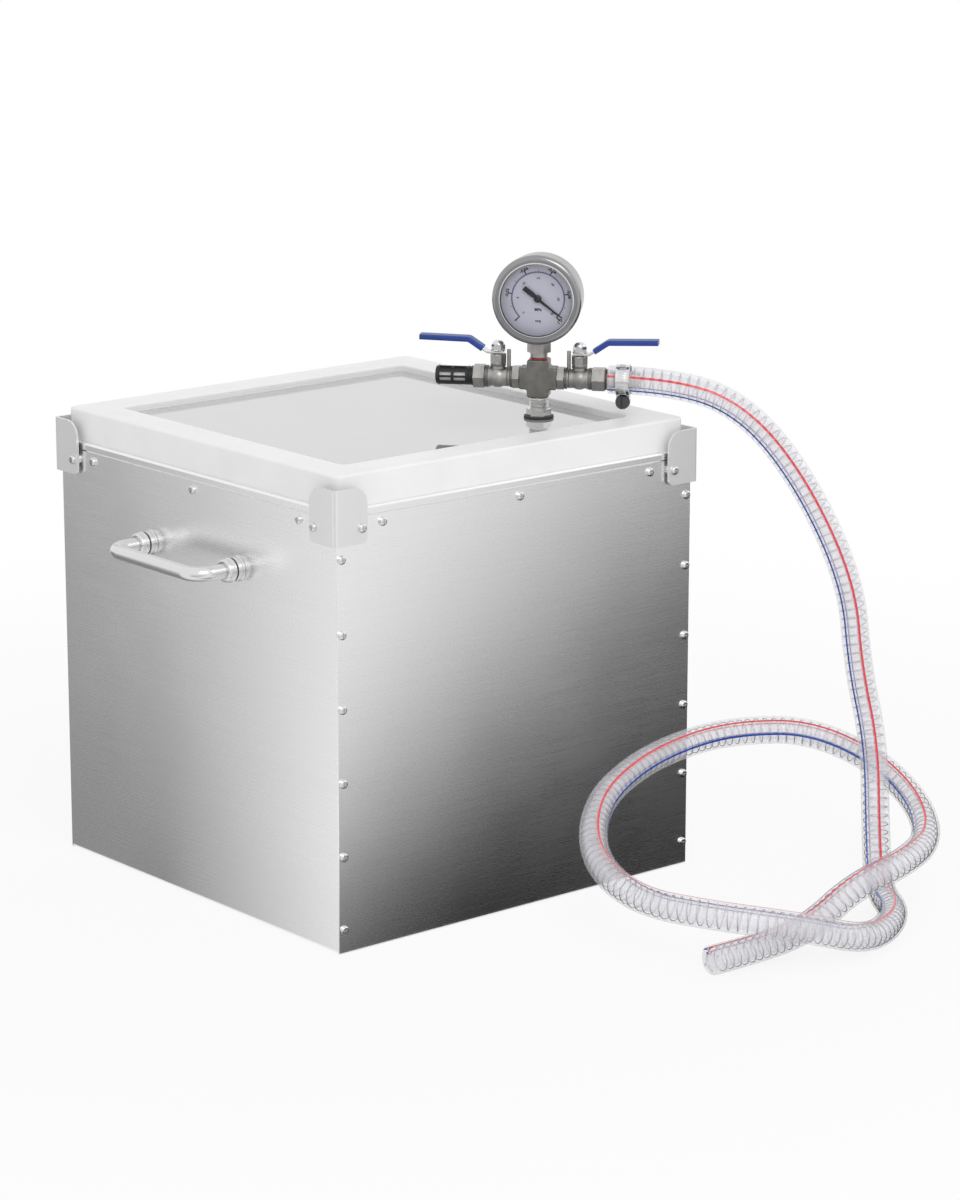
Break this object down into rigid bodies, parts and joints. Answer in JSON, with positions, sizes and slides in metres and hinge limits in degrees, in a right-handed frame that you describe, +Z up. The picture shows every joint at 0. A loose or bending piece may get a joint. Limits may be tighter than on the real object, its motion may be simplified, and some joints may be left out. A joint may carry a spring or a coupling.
{
  "type": "vacuum chamber",
  "caption": "Square stainless vacuum chamber with a lift-off lid in a white silicone frame, a vacuum gauge, a silenced vent valve and a hose valve with clear wire-reinforced hose.",
  "frame": {"origin": "on the floor, under the middle of the square casing", "axes": "+Z up, the front panel faces -Y, the handles are at -X and +X"},
  "size_m": [0.4423, 0.5287, 0.4172],
  "materials": {
    "brushed_stainless": "satin brushed sheet",
    "bright_stainless": "polished",
    "cast_stainless": "investment cast",
    "white_silicone": "smooth moulded",
    "acrylic": "polished sheet",
    "black_rubber": "moulded",
    "red_sealant": "cured paste",
    "black_plastic": "moulded",
    "white_plastic": "porous",
    "dark_steel": "oiled",
    "gauge_glass": "clear",
    "dial_white": "printed",
    "brass": "drawn",
    "pointer_black": "matt",
    "clear_pvc": "flexible, clear",
    "blue_vinyl": "dipped"
  },
  "bodies": {
    "root": {"tank": "brushed_stainless", "base_rails": "brushed_stainless", "stiffener_rings": "brushed_stainless", "upper_frame": "brushed_stainless", "outer_wrap": "brushed_stainless", "front_panel": "brushed_stainless", "back_panel": "brushed_stainless", "front_panel_screws": "bright_stainless", "back_panel_screws": "bright_stainless", "side_screws": "bright_stainless", "bracket_front_left": "bright_stainless", "bracket_front_right": "bright_stainless", "bracket_back_right": "bright_stainless", "bracket_back_left": "bright_stainless", "bracket_spacers": "bright_stainless", "bracket_screws": "bright_stainless", "handle_left": "bright_stainless", "handle_right": "bright_stainless", "handle_ferrules": "bright_stainless", "handle_screws": "bright_stainless"},
    "lid": {"lid_rim": "white_silicone", "lid_plate": "acrylic", "lid_fitting": "cast_stainless", "seal_washer_top": "black_rubber", "seal_washer_bottom": "black_rubber", "lock_nut": "cast_stainless", "cross_fitting": "cast_stainless", "thread_sealant": "red_sealant", "vent_valve_body": "cast_stainless", "vent_valve_seats": "white_plastic", "vent_valve_gland": "cast_stainless", "hose_valve_body": "cast_stainless", "hose_valve_seats": "white_plastic", "hose_valve_gland": "cast_stainless", "silencer_adapter": "cast_stainless", "silencer": "black_plastic", "silencer_element": "white_plastic", "hose_barb": "cast_stainless", "hose_clamp": "bright_stainless", "clamp_screw": "dark_steel", "gauge_socket": "cast_stainless", "gauge_case": "bright_stainless", "gauge_bezel": "bright_stainless", "gauge_glass": "gauge_glass", "gauge_dial": "dial_white", "pressure_tube": "brass", "movement": "brass", "hose": "clear_pvc"},
    "vent_lever": {"vent_ball": "bright_stainless", "vent_stem": "cast_stainless", "vent_lever": "bright_stainless", "vent_lever_sleeve": "blue_vinyl", "vent_lever_nut": "bright_stainless"},
    "hose_lever": {"hose_ball": "bright_stainless", "hose_stem": "cast_stainless", "hose_lever": "bright_stainless", "hose_lever_sleeve": "blue_vinyl", "hose_lever_nut": "bright_stainless"},
    "pointer": {"gauge_pointer": "pointer_black"}
  },
  "joints": [
    {"name": "lid_lift", "type": "slide", "parent": "root", "child": "lid", "axis": [0, 0, 1], "range_m": [0, 0.1]},
    {"name": "vent_lever_turn", "type": "hinge", "parent": "lid", "child": "vent_lever", "pos_m": [0.06802, -0.04832, 0.333], "axis": [0, 0, 1], "range_deg": [0, 90]},
    {"name": "hose_lever_turn", "type": "hinge", "parent": "lid", "child": "hose_lever", "pos_m": [0.10398, -0.08968, 0.333], "axis": [0, 0, -1], "range_deg": [0, 90]},
    {"name": "pointer_turn", "type": "hinge", "parent": "lid", "child": "pointer", "pos_m": [0.08208, -0.07241, 0.3872], "axis": [-0.7547, -0.6561, 0], "range_deg": [0, 254.8]}
  ]
}
